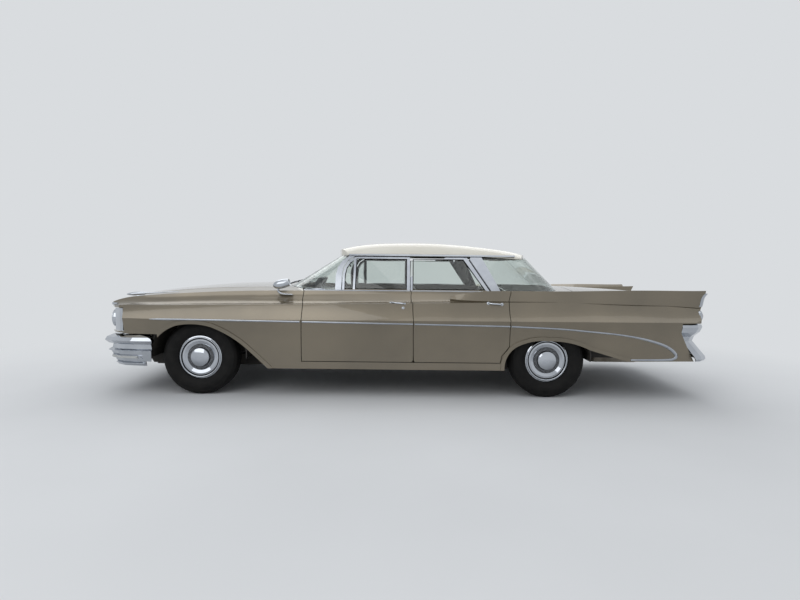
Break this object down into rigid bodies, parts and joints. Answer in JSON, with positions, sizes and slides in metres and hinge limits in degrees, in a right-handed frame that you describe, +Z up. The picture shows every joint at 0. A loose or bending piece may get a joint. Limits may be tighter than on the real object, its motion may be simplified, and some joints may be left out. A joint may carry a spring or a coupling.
{
  "type": "hardtop saloon car",
  "caption": "full-size late 1950s four-door pillarless saloon with a flat overhanging roof, wrap-round glass, low tail fins, opening doors, hood and boot, and steering road wheels",
  "frame": {"origin": "on the ground, midway along and across the car", "axes": "+X to the tail, +Y to the car's right, +Z up"},
  "size_m": [5.434, 2.0512, 1.4015],
  "materials": {
    "body_paint": "metallic champagne beige, glossy",
    "roof_paint": "cream white, glossy",
    "underbody": "black primer, matt",
    "frame_black": "black chassis paint, satin",
    "bright_trim": "bright stainless trim",
    "bumper_chrome": "polished chrome",
    "window_glass": "clear, faint green tint",
    "lamp_glass": "clear pressed lens",
    "tail_lens": "red lens, glossy",
    "seat_cloth": "light grey woven cloth and vinyl",
    "dash_vinyl": "dark grained vinyl",
    "dark_plastic": "dark moulded rim",
    "engine_iron": "painted cast iron",
    "exhaust_steel": "dull steel",
    "tank_steel": "dull plated steel",
    "axle_iron": "black painted cast iron",
    "tyre": "black tread and sidewall",
    "wheel_steel": "steel wheel with full bright cover"
  },
  "bodies": {
    "car": {"front_fenders": "body_paint", "nose_panel": "body_paint", "cowl_panel": "body_paint", "rear_quarters": "body_paint", "rocker_panels": "body_paint", "floor_pan": "underbody", "chassis_frame": "frame_black", "roof_panel": "roof_paint", "pillars": "bright_trim", "windscreen": "window_glass", "rear_window": "window_glass", "grille": "bright_trim", "headlamps": "lamp_glass", "tail_lamps": "tail_lens", "front_bumper": "bumper_chrome", "rear_bumper": "bumper_chrome", "front_seat": "seat_cloth", "rear_seat": "seat_cloth", "dashboard": "dash_vinyl", "steering_wheel": "dark_plastic", "engine_block": "engine_iron", "exhaust": "exhaust_steel", "fuel_tank": "tank_steel", "front_suspension": "frame_black", "rear_axle": "axle_iron"},
    "hood": {"hood": "body_paint"},
    "boot_lid": {"boot_lid": "body_paint"},
    "front_door_right": {"front_door_right": "body_paint", "front_glass_right": "window_glass"},
    "front_door_left": {"front_door_left": "body_paint", "front_glass_left": "window_glass"},
    "rear_door_right": {"rear_door_right": "body_paint", "rear_glass_right": "window_glass"},
    "rear_door_left": {"rear_door_left": "body_paint", "rear_glass_left": "window_glass"},
    "knuckle_right": {"knuckle_right": "axle_iron"},
    "knuckle_left": {"knuckle_left": "axle_iron"},
    "wheel_front_right": {"tyre_front_right": "tyre", "wheel_front_right": "wheel_steel"},
    "wheel_front_left": {"tyre_front_left": "tyre", "wheel_front_left": "wheel_steel"},
    "wheel_rear_right": {"tyre_rear_right": "tyre", "wheel_rear_right": "wheel_steel"},
    "wheel_rear_left": {"tyre_rear_left": "tyre", "wheel_rear_left": "wheel_steel"}
  },
  "joints": [
    {"name": "front_door_right_hinge", "type": "hinge", "parent": "car", "child": "front_door_right", "pos_m": [-0.873, 1.026, 0.6], "axis": [0, 0, 1], "range_deg": [0, 65]},
    {"name": "rear_door_right_hinge", "type": "hinge", "parent": "car", "child": "rear_door_right", "pos_m": [0.1, 1.026, 0.6], "axis": [0, 0, 1], "range_deg": [0, 62]},
    {"name": "steering_right", "type": "hinge", "parent": "car", "child": "knuckle_right", "pos_m": [-1.83, 0.716, 0.334], "axis": [0, 0, 1], "range_deg": [-32, 32]},
    {"name": "spin_front_right", "type": "hinge", "parent": "knuckle_right", "child": "wheel_front_right", "pos_m": [-1.83, 0.809, 0.334], "axis": [0, 1, 0], "continuous": true},
    {"name": "spin_rear_right", "type": "hinge", "parent": "car", "child": "wheel_rear_right", "pos_m": [1.269, 0.813, 0.334], "axis": [0, 1, 0], "continuous": true},
    {"name": "front_door_left_hinge", "type": "hinge", "parent": "car", "child": "front_door_left", "pos_m": [-0.873, -1.026, 0.6], "axis": [0, 0, -1], "range_deg": [0, 65]},
    {"name": "rear_door_left_hinge", "type": "hinge", "parent": "car", "child": "rear_door_left", "pos_m": [0.1, -1.026, 0.6], "axis": [0, 0, -1], "range_deg": [0, 62]},
    {"name": "steering_left", "type": "hinge", "parent": "car", "child": "knuckle_left", "pos_m": [-1.83, -0.716, 0.334], "axis": [0, 0, 1], "range_deg": [-32, 32]},
    {"name": "spin_front_left", "type": "hinge", "parent": "knuckle_left", "child": "wheel_front_left", "pos_m": [-1.83, -0.809, 0.334], "axis": [0, 1, 0], "continuous": true},
    {"name": "spin_rear_left", "type": "hinge", "parent": "car", "child": "wheel_rear_left", "pos_m": [1.269, -0.813, 0.334], "axis": [0, 1, 0], "continuous": true},
    {"name": "hood_hinge", "type": "hinge", "parent": "car", "child": "hood", "pos_m": [-1.212, 0, 0.99], "axis": [0, 1, 0], "range_deg": [0, 50]},
    {"name": "boot_lid_hinge", "type": "hinge", "parent": "car", "child": "boot_lid", "pos_m": [1.608, 0, 0.972], "axis": [0, -1, 0], "range_deg": [0, 70]}
  ],
  "couplings": [
    {"joint": "steering_left", "follows": "steering_right", "ratio": 1}
  ]
}
